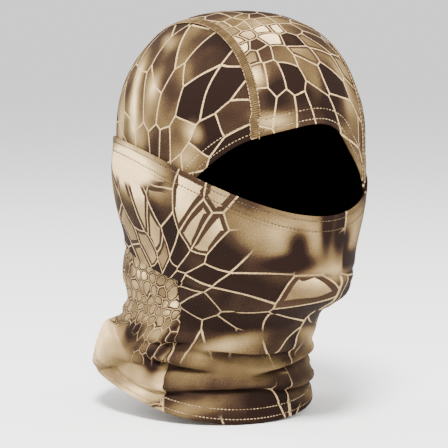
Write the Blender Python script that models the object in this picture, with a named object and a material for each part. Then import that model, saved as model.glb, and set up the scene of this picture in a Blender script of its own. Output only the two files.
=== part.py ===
"""Camouflage balaclava: a three-panel hood, an outer lower-face mask and a neck tube.

Metres in Blender; the design values below are millimetres and degrees. +Z is up, the face looks
along -Y and the wearer's right is -X. The origin is the top of the wearer's head, under the crown.
Azimuths go round the head from the face: 0 is straight ahead, positive towards the wearer's left.
"""
import math

import bmesh
import bpy
import numpy as np
from mathutils import Vector

MM = 0.001

# The head that the cloth is stretched over
CROWN_DROP = 95.0  # from the top of the head to its widest level
CROWN_FULLNESS = 2.3  # exponent of the crown's profile; 2 is an ellipse
WIDEST_LEVEL = -CROWN_DROP

# Level, centre's y, half width, depth in front of the centre, depth behind it
STATIONS = (
    (-95.0, 1.0, 81.5, 103.5, 103.5),
    (-115.0, 2.0, 82.5, 104.0, 104.5),
    (-140.0, 3.0, 78.5, 105.0, 102.0),
    (-166.0, 5.0, 70.5, 105.0, 96.0),
    (-185.0, 10.0, 68.5, 109.0, 100.0),
    (-197.0, 14.0, 67.5, 108.0, 97.0),
    (-205.0, 17.0, 65.5, 98.0, 89.0),
    (-215.0, 22.0, 64.0, 85.5, 82.0),
    (-228.0, 29.0, 66.0, 81.5, 86.0),
    (-250.0, 41.0, 69.5, 77.5, 88.0),
    (-300.0, 38.0, 76.0, 77.5, 86.0),
)

# The hood's opening edge, from behind the mask on the wearer's right, over the brow, to the left.
# The brow sits a little askew, lower on the left, as the cloth was pulled on.
OPENING_EDGE = (
    (-67.0, -182.0),
    (-64.0, -150.0),
    (-60.5, -119.0),
    (-52.0, -102.0),
    (-38.0, -87.5),
    (-20.0, -79.5),
    (-3.0, -75.5),
    (8.0, -80.0),
    (16.0, -93.0),
    (26.0, -107.0),
    (36.0, -121.0),
    (44.0, -136.0),
    (50.0, -156.0),
    (55.0, -184.0),
)

MASK_EDGE_LOW = -139.0  # the mask's top edge at the nose
MASK_EDGE_RISE = 21.7  # its rise towards the back of the head
MASK_EDGE_TEMPLE = 11.1  # its extra rise at the temples
BAND_FOOT_LEVEL = -183.0  # the band's lower edge at y = 0
BAND_FOOT_SLOPE = 0.22
CHIN_CUT = -198.0  # lower edge of the mask front
CHEEK_CUT_Y = -64.0  # the mask front is everything ahead of this plane
CHEEK_GAP = 1.4  # room for the mask front to slide past the band
THROAT_TOP = -204.0  # the throat panel starts under the chin
THROAT_SIDE = 39.0  # azimuth at which its top edge starts to rise to the band
THROAT_RISE = 14.0  # azimuth that the rise takes
BOTTOM_LEVEL = -286.0  # the bottom edge at y = 0
BOTTOM_SLOPE = 0.26

SEAM_FRONT_X = 45.0  # half width of the crown centre panel at the brow
SEAM_CROWN_X = 38.0
SEAM_BACK_X = 31.0
SIDE_SEAM_LOW = 60.0  # azimuth of the side neck seams at the bottom hem
SIDE_SEAM_TURN = 14.0  # how much further round they start, under the band
SIDE_SEAM_STRAIGHT = -240.0  # level below which they run straight down
SIDE_SEAM_SWEEP = 52.0  # height over which they turn
HEM_WIDTH = 13.0
STITCH_ROWS = (3.5, 10.5)  # cover-stitch rows, from the folded edge
FLATLOCK_WIDTH = 6.2
THREAD_WIDTH = 1.1
GAP = 0.4
TUCK = 4.0  # how far the back neck panel runs up behind the band
NAPE_SEAM_TOP = 9.0  # top of the nape seam, above the band's lower edge
NAPE_AZIMUTH = 157.0  # where the crown seams reach the nape
NECK_MIDDLE = -230.0
INNER_SEAM_WIDTH = 6.0
SEAM_TAPE_START = 0.01
SEAM_COLUMNS = 26

# Layers: how far each one's inner face stands off the head, and its thickness
LINING = (0.2, 0.7)
HOOD = (1.2, 1.0)
HEM = (1.0, 1.4)
SEAM_TAPE = (2.5, 0.5)
HEM_THREAD = (2.7, 0.3)
MASK_LINING = (3.4, 0.6)
MASK = (4.3, 1.0)
MASK_HEM = (3.6, 1.9)
MASK_THREAD = (5.8, 0.3)
NECK = (1.2, 1.0)
NECK_HEM = (1.0, 1.4)
NECK_THREAD = (2.7, 0.3)
INNER_SEAM = (-0.8, 1.0)

KHAKI = (0.36, 0.25, 0.13)
TAN = (0.42, 0.33, 0.22)
BROWN = (0.11, 0.07, 0.05)
CREAM = (0.74, 0.62, 0.48)
BLACK = (0.004, 0.004, 0.004)


def clear_scene():
    for item in list(bpy.data.objects):
        bpy.data.objects.remove(item)


# ---------------------------------------------------------------- the head form


def section(level):
    """Centre y, half width, front depth and back depth of the head form at a level."""
    rows = STATIONS
    if level >= rows[0][0]:
        return rows[0][1:]
    last = len(rows) - 1
    i = 0
    while i < last - 1 and level < rows[i + 1][0]:
        i += 1
    before, start, end, after = rows[max(i - 1, 0)], rows[i], rows[i + 1], rows[min(i + 2, last)]
    t = (level - start[0]) / (end[0] - start[0])
    values = []
    for k in range(1, 5):
        slope_in = (end[k] - before[k]) / (end[0] - before[0]) * (end[0] - start[0])
        slope_out = (after[k] - start[k]) / (after[0] - start[0]) * (end[0] - start[0])
        if i == 0:
            slope_in = 0.0
        values.append(
            (2 * t**3 - 3 * t**2 + 1) * start[k]
            + (t**3 - 2 * t**2 + t) * slope_in
            + (3 * t**2 - 2 * t**3) * end[k]
            + (t**3 - t**2) * slope_out
        )
    return values


def around(azimuth, level):
    """The point at an azimuth (degrees) and a level at or below the widest one."""
    centre, half_width, front, back = section(level)
    angle = math.radians(azimuth)
    depth = front if math.cos(angle) > 0 else back
    return np.array((half_width * math.sin(angle), centre - depth * math.cos(angle), level))


def on_head(point):
    """The point pushed straight out onto the head form: from the ear axis above the widest level."""
    x, y, z = point
    if z >= WIDEST_LEVEL:
        centre, half_width, front, back = section(WIDEST_LEVEL)
        depth = front if y < centre else back
        flat = math.hypot(x / half_width, (y - centre) / depth)
        tall = (z - WIDEST_LEVEL) / CROWN_DROP
        size = (flat**CROWN_FULLNESS + tall**CROWN_FULLNESS) ** (1 / CROWN_FULLNESS)
        return np.array((x / size, centre + (y - centre) / size, WIDEST_LEVEL + (z - WIDEST_LEVEL) / size))
    centre, half_width, front, back = section(z)
    depth = front if y < centre else back
    size = math.hypot(x / half_width, (y - centre) / depth)
    return np.array((x / size, centre + (y - centre) / size, z))


def at_level(azimuth, level):
    """The point at an azimuth and a level, above or below the widest one."""
    if level < WIDEST_LEVEL:
        return around(azimuth, level)
    flat = around(azimuth, WIDEST_LEVEL)
    centre = section(WIDEST_LEVEL)[0]
    rise = (level - WIDEST_LEVEL) / CROWN_DROP
    shrink = (1 - rise**CROWN_FULLNESS) ** (1 / CROWN_FULLNESS)
    return on_head((flat[0] * shrink, centre + (flat[1] - centre) * shrink, level))


# ---------------------------------------------------------------- the edges


def along(points, t):
    """A smooth curve through a list of points, t from 0 to 1."""
    points = [np.array(p, float) for p in points]
    last = len(points) - 1
    place = min(max(t, 0.0), 1.0) * last
    i = min(int(place), last - 1)
    t = place - i
    before, start, end, after = points[max(i - 1, 0)], points[i], points[i + 1], points[min(i + 2, last)]
    return 0.5 * (
        2 * start
        + (end - before) * t
        + (2 * before - 5 * start + 4 * end - after) * t**2
        + (3 * start - before - 3 * end + after) * t**3
    )


def opening_edge(t, inset=0.0):
    """The hood's opening edge, moved by inset into the cloth."""
    step = 0.002
    point = at_level(*along(OPENING_EDGE, t))
    ahead = at_level(*along(OPENING_EDGE, min(t + step, 1.0)))
    behind = at_level(*along(OPENING_EDGE, max(t - step, 0.0)))
    run = (ahead - behind) / np.linalg.norm(ahead - behind)
    outward = point - np.array((0.0, 0.0, min(point[2], WIDEST_LEVEL)))
    sideways = np.cross(run, outward)
    sideways *= -1 / np.linalg.norm(sideways)
    return on_head(point + inset * sideways)


def mask_edge_level(azimuth):
    angle = math.radians(azimuth)
    return MASK_EDGE_LOW + MASK_EDGE_RISE * (1 - math.cos(angle)) + MASK_EDGE_TEMPLE * (1 - math.cos(2 * angle))


def plane_level(azimuth, level, slope):
    """Where the meridian at an azimuth meets the plane z = level + slope * y."""
    z = level
    for _ in range(12):
        z = 0.5 * z + 0.5 * (level + slope * around(azimuth, z)[1])
    return z


def band_foot_level(azimuth):
    return max(plane_level(azimuth, BAND_FOOT_LEVEL, BAND_FOOT_SLOPE), CHIN_CUT)


def bottom_level(azimuth):
    return plane_level(azimuth, BOTTOM_LEVEL, BOTTOM_SLOPE)


def throat_top_level(azimuth):
    """Under the chin in front, rising to the band's lower edge at the sides."""
    share = min(max((abs(azimuth) - THROAT_SIDE) / THROAT_RISE, 0.0), 1.0)
    share = share * share * (3 - 2 * share)
    tucked = plane_level(azimuth, BAND_FOOT_LEVEL, BAND_FOOT_SLOPE) - GAP
    return THROAT_TOP + (tucked - THROAT_TOP) * share


def cheek_azimuth(level, y):
    """The azimuth at which the form's section at a level crosses the plane at y."""
    centre, _, front, _ = section(level)
    return math.degrees(math.acos((centre - y) / front))


def seam_x(turn):
    """The crown seam's distance from the middle; turn is 0 at the brow, 1 on the crown, 2 at the nape."""
    if turn < 1:
        return SEAM_FRONT_X + (SEAM_CROWN_X - SEAM_FRONT_X) * turn
    return SEAM_CROWN_X + (SEAM_BACK_X - SEAM_CROWN_X) * (turn - 1)


def keep_x(point, x):
    """The form's point above or beside a sagittal point, at exactly the distance x from the middle."""
    trial = x
    for _ in range(25):
        found = on_head((trial, point[1], point[2]))
        trial += x - found[0]
    return on_head((trial, point[1], point[2]))


# ---------------------------------------------------------------- patches and pieces


def azimuth_of(point):
    """The azimuth, 0 to 360 or -180 to 180, at which a point of the form lies."""
    centre, half_width, front, back = section(min(point[2], WIDEST_LEVEL))
    depth = front if point[1] < centre else back
    return math.degrees(math.atan2(point[0] / half_width, (centre - point[1]) / depth))


def coons(low, high, left, right, columns, rows):
    """A grid of points over a four-sided patch whose sides are functions of 0..1."""
    corner_ll, corner_lr, corner_hl, corner_hr = low(0), low(1), high(0), high(1)
    grid = []
    for j in range(rows + 1):
        v = j / rows
        line = []
        for i in range(columns + 1):
            u = i / columns
            ruled = (1 - v) * low(u) + v * high(u) + (1 - u) * left(v) + u * right(v)
            corners = (1 - v) * ((1 - u) * corner_ll + u * corner_lr) + v * ((1 - u) * corner_hl + u * corner_hr)
            line.append(ruled - corners)
        grid.append(line)
    return grid


def lifted(grid, lift):
    """The same grid standing off the head form by lift, along the form's own normals."""
    return [[stand_off(on_head(p), lift) for p in line] for line in grid]


def stand_off(point, lift):
    """Moves a point of the form outward along the form's normal."""
    step = 0.5
    x, y, z = point
    centre = section(min(z, WIDEST_LEVEL))[0]

    def depth(p):
        """Below 0 inside the form, above 0 outside it."""
        return np.linalg.norm(p - [0, centre, min(p[2], WIDEST_LEVEL)]) - np.linalg.norm(
            on_head(p) - [0, centre, min(p[2], WIDEST_LEVEL)]
        )

    normal = np.array([depth(point + step * axis) - depth(point - step * axis) for axis in np.eye(3)])
    return point + lift * normal / np.linalg.norm(normal)


def make_material(name, colour, roughness):
    found = bpy.data.materials.get(name)
    if found:
        return found
    material = bpy.data.materials.new(name)
    material.use_nodes = True
    shader = material.node_tree.nodes["Principled BSDF"]
    shader.inputs["Base Color"].default_value = (*colour, 1.0)
    shader.inputs["Roughness"].default_value = roughness
    shader.inputs["Metallic"].default_value = 0.0
    return material


def add_grid(shape, grid, closed=False):
    """Adds a grid of quads to a bmesh; closed joins the last column to the first."""
    verts = [[shape.verts.new(p * MM) for p in line] for line in grid]
    columns = len(grid[0])
    for below, above in zip(verts, verts[1:]):
        for i in range(columns if closed else columns - 1):
            k = (i + 1) % columns
            shape.faces.new((below[i], below[k], above[k], above[i]))


def cloth(name, grid, layer, colour, roughness=0.8, closed=False, parent=None):
    """A closed shell of cloth: a grid on the head form, lifted to the layer and thickened outward."""
    lift, thickness = layer
    shape = bmesh.new()
    add_grid(shape, lifted(grid, lift), closed)
    shape.normal_update()
    face = max(shape.faces, key=lambda f: f.calc_area())
    middle = face.calc_center_median()
    inside = Vector((0, section(middle.z / MM)[0] * MM, min(middle.z, WIDEST_LEVEL * MM)))
    if face.normal.dot(middle - inside) < 0:
        bmesh.ops.reverse_faces(shape, faces=shape.faces)
    mesh = bpy.data.meshes.new(name)
    shape.to_mesh(mesh)
    shape.free()
    mesh.shade_smooth()
    piece = bpy.data.objects.new(name, mesh)
    bpy.context.scene.collection.objects.link(piece)
    mesh.materials.append(make_material(name + "_cloth", colour, roughness))
    thicken = piece.modifiers.new("cloth thickness", "SOLIDIFY")
    thicken.thickness = thickness * MM
    thicken.offset = 1.0
    thicken.use_even_offset = False
    if parent:
        piece.parent = parent
        piece.matrix_parent_inverse = parent.matrix_world.inverted()
    return piece


# ---------------------------------------------------------------- the hood

SIDE_COLUMNS = 16  # along the crown, from the brow hem back
SIDE_ROWS = 10  # down the front edge, and down the back from the crown to the nape
CENTRE_COLUMNS = 6


def opening_at_x(x, inset=HEM_WIDTH + GAP):
    """The place along the opening edge at which it crosses a distance x from the middle."""
    low, high = 0.0, 1.0
    for _ in range(40):
        middle = (low + high) / 2
        if opening_edge(middle, inset)[0] < x:
            low = middle
        else:
            high = middle
    return low


def opening_stations():
    """Where the brow hem's cloth is divided: the same places as the panels sewn to it."""
    right, left = opening_at_x(-SEAM_FRONT_X), opening_at_x(SEAM_FRONT_X)
    stations = [right * i / SIDE_ROWS for i in range(SIDE_ROWS)]
    stations += [right + (left - right) * i / CENTRE_COLUMNS for i in range(CENTRE_COLUMNS)]
    stations += [left + (1 - left) * i / SIDE_ROWS for i in range(SIDE_ROWS + 1)]
    return stations


def hood_foot(azimuth):
    """The hood's lower edge, behind the band and above the nape seam."""
    return around(azimuth, band_foot_level(azimuth) + NAPE_SEAM_TOP + GAP)


def seam_line(side, offset=0.0):
    """A crown seam as a function of 0..1, from the brow hem to the nape, moved sideways by offset."""
    start = opening_edge(opening_at_x(side * SEAM_FRONT_X), HEM_WIDTH + GAP)
    foot = hood_foot(NAPE_AZIMUTH)
    centre, half_width, front, back = section(WIDEST_LEVEL)
    first_angle = math.atan2(start[2] - WIDEST_LEVEL, -start[1])
    over = (math.pi - first_angle) * CROWN_DROP
    below = WIDEST_LEVEL - foot[2]

    def point(share):
        place = share * (over + below)
        angle = first_angle + min(place, over) / CROWN_DROP
        x = side * (seam_x(2 * angle / math.pi) + offset)
        depth = front if math.cos(angle) > 0 else back
        y = centre - math.cos(angle) * depth
        if place <= over:
            return keep_x((0.0, y, WIDEST_LEVEL + math.sin(angle) * CROWN_DROP), x)
        return keep_x((0.0, y, WIDEST_LEVEL - (place - over)), x)

    return point


def crown_share():
    """How much of a seam's divisions lie over the crown, the rest running down the back."""
    return SIDE_COLUMNS / (SIDE_COLUMNS + SIDE_ROWS)


def hood_side(side):
    """A side panel: brow hem in front, crown seam above and behind, nape seam below."""
    inset = HEM_WIDTH + GAP
    seam = seam_line(side, GAP / 2)
    junction = opening_at_x(side * SEAM_FRONT_X)
    end = 0.0 if side < 0 else 1.0
    front_foot, back_foot = opening_edge(end, inset), seam(1.0)
    front_azimuth = azimuth_of(front_foot)
    back_azimuth = azimuth_of(back_foot)

    def foot(u):
        point = hood_foot(front_azimuth + (back_azimuth - front_azimuth) * u)
        front_miss = front_foot - hood_foot(front_azimuth)
        back_miss = back_foot - hood_foot(back_azimuth)
        return point + (1 - u) ** 6 * front_miss + u**6 * back_miss

    def front(v):
        return opening_edge(end + (junction - end) * v, inset)

    def top(u):
        return seam(u * crown_share()) + (1 - u) ** 8 * (front(1) - seam(0))

    def back(v):
        return seam(1 - v * (1 - crown_share()))

    return coons(foot, top, front, back, SIDE_COLUMNS, SIDE_ROWS)


def hood_centre():
    """The crown centre panel: from seam to seam, and from the brow hem to the nape."""
    right, left = seam_line(-1, -GAP / 2), seam_line(1, -GAP / 2)
    brow_right, brow_left = opening_at_x(-SEAM_FRONT_X), opening_at_x(SEAM_FRONT_X)

    def brow(u):
        return opening_edge(brow_right + (brow_left - brow_right) * u, HEM_WIDTH + GAP)

    ends = [azimuth_of(line(1)) % 360 for line in (right, left)]

    def nape(u):
        return hood_foot(ends[0] + (ends[1] - ends[0]) * u)

    rows = SIDE_COLUMNS + SIDE_ROWS
    grid = []
    for j in range(rows + 1):
        v = j / rows
        a = right(v) + (1 - v) ** 12 * (brow(0) - right(0))
        b = left(v) + (1 - v) ** 12 * (brow(1) - left(0))
        line = []
        for i in range(CENTRE_COLUMNS + 1):
            u = i / CENTRE_COLUMNS
            brow_bow = brow(u) - brow(0) - (brow(1) - brow(0)) * u
            nape_bow = nape(u) - nape(0) - (nape(1) - nape(0)) * u
            line.append(a + (b - a) * u + (1 - v) ** 6 * brow_bow + v**6 * nape_bow)
        grid.append(line)
    return grid


def build_hood():
    centre, right, left = hood_centre(), hood_side(-1), hood_side(1)
    cloth("crown_centre_panel", centre, HOOD, TAN)
    cloth("hood_side_panel_right", right, HOOD, BROWN)
    cloth("hood_side_panel_left", left, HOOD, BROWN)
    cloth("hood_lining_centre", centre, LINING, BLACK, 1.0)
    cloth("hood_lining_right", right, LINING, BLACK, 1.0)
    cloth("hood_lining_left", left, LINING, BLACK, 1.0)
    for side, word in ((-1, "right"), (1, "left")):
        edges = [seam_line(side, offset) for offset in (-FLATLOCK_WIDTH / 2, FLATLOCK_WIDTH / 2)]
        places = [SEAM_TAPE_START + (1 - SEAM_TAPE_START) * i / SEAM_COLUMNS for i in range(SEAM_COLUMNS + 1)]
        tape = [[edge(place) for place in places] for edge in edges]
        cloth("crown_flatlock_seam_" + word, tape, SEAM_TAPE, KHAKI)
    stations = opening_stations()
    insets = (0.0, HEM_WIDTH / 2, HEM_WIDTH)
    cloth("brow_hem", [[opening_edge(t, inset) for t in stations] for inset in insets], HEM, BROWN)
    for row, word in zip(STITCH_ROWS, ("lower", "upper")):
        insets = (row - THREAD_WIDTH / 2, row + THREAD_WIDTH / 2)
        thread = [[opening_edge(t, inset) for t in stations] for inset in insets]
        cloth("brow_cover_stitch_" + word, thread, HEM_THREAD, CREAM)


# ---------------------------------------------------------------- the mask and the band

BAND_COLUMNS = 36
MASK_COLUMNS = 16
MASK_ROWS = 6


def cheek_start(level_of, y):
    """The azimuth at which an edge, given as a level for each azimuth, crosses the plane at y."""
    azimuth = 50.0
    for _ in range(20):
        azimuth = cheek_azimuth(level_of(azimuth), y)
    return azimuth


def mask_line(below, y, ahead, columns):
    """Points along a line a little below the mask's top edge, ahead of or behind the plane at y."""
    cut = cheek_start(lambda a: mask_edge_level(a) - below, y)
    start, end = (-cut, cut) if ahead else (cut, 360 - cut)
    azimuths = [start + (end - start) * i / columns for i in range(columns + 1)]
    return [around(a, mask_edge_level(a) - below) for a in azimuths]


def mask_panel(foot_level, y, ahead, columns):
    """The cloth between the mask's hem and its foot, ahead of or behind the cheek plane at y."""
    top_line = mask_line(HEM_WIDTH + GAP, y, ahead, columns)
    cut = cheek_start(foot_level, y)
    start, end = (-cut, cut) if ahead else (cut, 360 - cut)
    feet = [start + (end - start) * i / columns for i in range(columns + 1)]
    grid = []
    for j in range(MASK_ROWS + 1):
        v = j / MASK_ROWS
        line = []
        for i, foot_azimuth in enumerate(feet):
            foot = around(foot_azimuth, foot_level(foot_azimuth))
            level = foot[2] + (top_line[i][2] - foot[2]) * v
            top_azimuth = azimuth_of(top_line[i])
            turn = (top_azimuth - foot_azimuth + 180) % 360 - 180
            line.append(around(foot_azimuth + turn * v, level))
        for i in (0, columns):
            side = -1 if line[i][0] < 0 else 1
            line[i] = around(side * cheek_azimuth(line[i][2], y), line[i][2])
        grid.append(line)
    return grid


def build_mask(slide):
    """The mask front moves with the empty; the band behind the cheeks stays on the head."""
    parts = (
        ("mask_front", CHEEK_CUT_Y - CHEEK_GAP / 2, True, MASK_COLUMNS, slide, lambda a: CHIN_CUT),
        ("mask_band", CHEEK_CUT_Y + CHEEK_GAP / 2, False, BAND_COLUMNS, None, band_foot_level),
    )
    for name, y, ahead, columns, parent, foot_level in parts:
        panel = mask_panel(foot_level, y, ahead, columns)
        cloth(name + "_panel", panel, MASK, TAN, parent=parent)
        if ahead:
            cloth(name + "_lining", panel, MASK_LINING, BLACK, 1.0, parent=parent)
        rows = [mask_line(below, y, ahead, columns) for below in (HEM_WIDTH, HEM_WIDTH / 2, 0.0)]
        cloth(name + "_hem", rows, MASK_HEM, TAN, parent=parent)
        for row, word in zip(STITCH_ROWS, ("upper", "lower")):
            belows = (row + THREAD_WIDTH / 2, row - THREAD_WIDTH / 2)
            thread = [mask_line(below, y, ahead, columns) for below in belows]
            cloth(name + "_cover_stitch_" + word, thread, MASK_THREAD, CREAM, parent=parent)


# ---------------------------------------------------------------- the neck

NECK_COLUMNS = 20
NECK_ROWS = 8
NAPE_COLUMNS = 30


def side_seam_azimuth(level):
    share = min(max((level - SIDE_SEAM_STRAIGHT) / SIDE_SEAM_SWEEP, 0.0), 1.0)
    return SIDE_SEAM_LOW + SIDE_SEAM_TURN * share * share * (3 - 2 * share)


def neck_azimuth(share, level, behind):
    """The azimuth a share of the way from one side seam to the other, ahead of them or behind them."""
    seam = side_seam_azimuth(level)
    edge = math.degrees(GAP / 2 / section(NECK_MIDDLE)[1])
    if behind:
        return seam + edge + (360 - 2 * seam - 2 * edge) * share
    return edge - seam + (2 * seam - 2 * edge) * share


def neck_panel(behind, top):
    """Neck cloth between the side seams, from a top level down to the bottom hem."""
    grid = []
    for j in range(NECK_ROWS + 1):
        line = []
        for i in range(NECK_COLUMNS + 1):
            level = NECK_MIDDLE
            for _ in range(8):
                azimuth = neck_azimuth(i / NECK_COLUMNS, level, behind)
                foot = bottom_level(azimuth) + HEM_WIDTH + GAP
                level = foot + (top(azimuth) - foot) * j / NECK_ROWS
            line.append(around(azimuth, level))
        grid.append(line)
    return grid


def build_neck():
    cloth("front_neck_panel", neck_panel(False, throat_top_level), NECK, BROWN)

    def tucked(azimuth):
        return band_foot_level(azimuth) + TUCK

    cloth("back_neck_panel", neck_panel(True, tucked), NECK, TAN)
    ring = hem_azimuths()
    rises = (0.0, HEM_WIDTH / 2, HEM_WIDTH)
    hem = [[around(a, bottom_level(a) + rise) for a in ring] for rise in rises]
    cloth("neck_hem", hem, NECK_HEM, CREAM, closed=True)
    for row, word in zip(STITCH_ROWS, ("lower", "upper")):
        rises = (row - THREAD_WIDTH / 2, row + THREAD_WIDTH / 2)
        thread = [[around(a, bottom_level(a) + rise) for a in ring] for rise in rises]
        cloth("neck_cover_stitch_" + word, thread, NECK_THREAD, BROWN, closed=True)
    for sign, word in ((-1, "right"), (1, "left")):
        half = math.degrees(INNER_SEAM_WIDTH / 2 / section(NECK_MIDDLE)[1])
        top_level = band_foot_level(SIDE_SEAM_LOW + SIDE_SEAM_TURN) - GAP
        foot_level = bottom_level(SIDE_SEAM_LOW) + HEM_WIDTH + TUCK
        levels = [foot_level + (top_level - foot_level) * j / NECK_ROWS for j in range(NECK_ROWS + 1)]
        allowance = [
            [around(sign * side_seam_azimuth(level) + turn, level) for turn in (-half, half)]
            for level in levels
        ]
        cloth("neck_seam_" + word, allowance, INNER_SEAM, BROWN)
    start, end = (azimuth_of(opening_edge(t, HEM_WIDTH + GAP)) % 360 for t in (1.0, 0.0))
    nape = [start + (end - start) * i / NAPE_COLUMNS for i in range(NAPE_COLUMNS + 1)]
    rises = (TUCK + GAP, NAPE_SEAM_TOP)
    seam = [[around(a, band_foot_level(a) + rise) for a in nape] for rise in rises]
    cloth("nape_seam", seam, HOOD, BROWN)


def hem_azimuths():
    """The bottom hem's divisions: those of the two neck panels above it."""
    shares = [i / NECK_COLUMNS for i in range(NECK_COLUMNS + 1)]
    front = [neck_azimuth(share, BOTTOM_LEVEL, False) for share in shares]
    return front + [neck_azimuth(share, BOTTOM_LEVEL, True) for share in shares]


def main():
    clear_scene()
    build_hood()
    slide = bpy.data.objects.new("mask_slide", None)
    slide.location = around(0, MASK_EDGE_LOW) * MM
    bpy.context.scene.collection.objects.link(slide)
    bpy.context.view_layer.update()
    build_mask(slide)
    build_neck()


main()
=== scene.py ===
import math
from functools import partialmethod

import bpy
import numpy as np
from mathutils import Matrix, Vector


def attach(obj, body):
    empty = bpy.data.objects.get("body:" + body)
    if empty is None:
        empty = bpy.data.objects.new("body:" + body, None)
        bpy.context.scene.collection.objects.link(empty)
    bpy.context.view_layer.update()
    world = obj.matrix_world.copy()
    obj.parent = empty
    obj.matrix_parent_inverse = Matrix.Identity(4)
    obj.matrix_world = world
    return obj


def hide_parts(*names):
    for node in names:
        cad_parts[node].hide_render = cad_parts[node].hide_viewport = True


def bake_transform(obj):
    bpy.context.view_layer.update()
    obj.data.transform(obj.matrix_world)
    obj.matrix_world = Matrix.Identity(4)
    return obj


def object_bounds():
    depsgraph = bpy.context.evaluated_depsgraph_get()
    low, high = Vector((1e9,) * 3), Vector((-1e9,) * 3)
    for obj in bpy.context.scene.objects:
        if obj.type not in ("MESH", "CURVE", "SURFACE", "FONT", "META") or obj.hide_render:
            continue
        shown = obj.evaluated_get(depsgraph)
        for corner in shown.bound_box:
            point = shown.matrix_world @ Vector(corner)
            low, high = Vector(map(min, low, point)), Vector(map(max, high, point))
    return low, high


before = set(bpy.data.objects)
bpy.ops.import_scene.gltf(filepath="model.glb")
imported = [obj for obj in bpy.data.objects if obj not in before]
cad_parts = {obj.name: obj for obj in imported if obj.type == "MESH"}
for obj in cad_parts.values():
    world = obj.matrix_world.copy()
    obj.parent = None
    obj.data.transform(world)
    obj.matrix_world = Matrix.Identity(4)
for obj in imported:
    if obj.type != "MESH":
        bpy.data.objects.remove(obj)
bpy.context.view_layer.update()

# Millimetres and degrees, in the part's own frame: +Z up, the face looks along -Y, and azimuths go
# round the head from the face, positive towards the wearer's left.
MM = 0.001

# ---- the head form, as in the part

CROWN_DROP = 95.0
CROWN_FULLNESS = 2.3
WIDEST_LEVEL = -CROWN_DROP

# Level, centre's y, half width, depth in front of the centre, depth behind it
STATIONS = np.array((
    (-95, 1, 81.5, 103.5, 103.5), (-115, 2, 82.5, 104, 104.5), (-140, 3, 78.5, 105, 102),
    (-166, 5, 70.5, 105, 96), (-185, 10, 68.5, 109, 100), (-197, 14, 67.5, 108, 97),
    (-205, 17, 65.5, 98, 89), (-215, 22, 64, 85.5, 82), (-228, 29, 66, 81.5, 86),
    (-250, 41, 69.5, 77.5, 88), (-300, 38, 76, 77.5, 86),
))

# The hood's opening edge, from behind the mask on the wearer's right, over the brow, to the left
OPENING_EDGE = np.array((
    (-67, -182), (-64, -150), (-60.5, -119), (-52, -102), (-38, -87.5), (-20, -79.5), (-3, -75.5),
    (8, -80), (16, -93), (26, -107), (36, -121), (44, -136), (50, -156), (55, -184),
))

MASK_EDGE_LOW = -139.0
MASK_EDGE_RISE = 21.7
MASK_EDGE_TEMPLE = 11.1
BAND_FOOT_LEVEL = -183.0
BAND_FOOT_SLOPE = 0.22
CHIN_CUT = -198.0
CHIN_TURN = 9.0
FOOT_TUCK = 9.4
BOTTOM_LEVEL = -286.0
BOTTOM_SLOPE = 0.26
BOTTOM_SAGS = ((-60.0, 40.0, 1.5), (20.0, 40.0, -2.5), (-105.0, 30.0, -1.5))  # azimuth, span, depth
SEAM_FRONT_X = 45.0
SEAM_CROWN_X = 38.0
SEAM_BACK_X = 31.0
SIDE_SEAM_LOW = 60.0
SIDE_SEAM_TURN = 14.0
SIDE_SEAM_STRAIGHT = -240.0
SIDE_SEAM_SWEEP = 52.0
NAPE_AZIMUTH = 157.0
HEM_WIDTH = 13.0
STITCH_ROWS = (3.5, 10.5)
FLATLOCK_WIDTH = 6.2

# Lift of a layer's inner face off the form, and its thickness
LINING = (0.2, 0.7)
HOOD = (1.2, 1.0)
MASK_LINING = (2.8, 0.4)
MASK = (3.3, 0.8)
NECK = (1.2, 1.0)


def smooth(x):
    """0 below 0, 1 above 1, and an S-curve between."""
    x = np.clip(x, 0.0, 1.0)
    return x * x * (3 - 2 * x)


def bump(x):
    """1 at 0, falling smoothly to nothing by about 2 either way."""
    return np.exp(-np.square(x))


def columns_of(*arrays):
    """Arrays of one shape side by side along a last axis, as points' x, y and z."""
    return np.stack(arrays, axis=-1)


def unit(vectors):
    return vectors / np.linalg.norm(vectors, axis=-1, keepdims=True)


def section(level):
    """Centre y, half width, front depth and back depth of the head form at each level."""
    level = np.minimum(np.asarray(level, float), WIDEST_LEVEL)
    knots = STATIONS[:, 0]
    slopes = np.zeros_like(STATIONS)
    slopes[1:-1] = (STATIONS[2:] - STATIONS[:-2]) / (knots[2:] - knots[:-2])[:, None]
    slopes[-1] = (STATIONS[-1] - STATIONS[-2]) / (knots[-1] - knots[-2])
    i = np.clip(np.searchsorted(-knots, -level, side="right") - 1, 0, len(knots) - 2)
    run = knots[i + 1] - knots[i]
    t = (level - knots[i]) / run
    weights = (2 * t**3 - 3 * t**2 + 1, (t**3 - 2 * t**2 + t) * run, 3 * t**2 - 2 * t**3, (t**3 - t**2) * run)
    rows = (STATIONS[i], slopes[i], STATIONS[i + 1], slopes[i + 1])
    blended = sum(w[..., None] * row for w, row in zip(weights, rows))
    return tuple(np.moveaxis(blended, -1, 0)[1:])


def around(azimuth, level):
    """Points at azimuths and levels at or below the widest level."""
    azimuth, level = np.broadcast_arrays(np.asarray(azimuth, float), np.asarray(level, float))
    centre, half_width, front, back = section(level)
    angle = np.radians(azimuth)
    depth = np.where(np.cos(angle) > 0, front, back)
    return columns_of(half_width * np.sin(angle), centre - depth * np.cos(angle), level)


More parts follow.
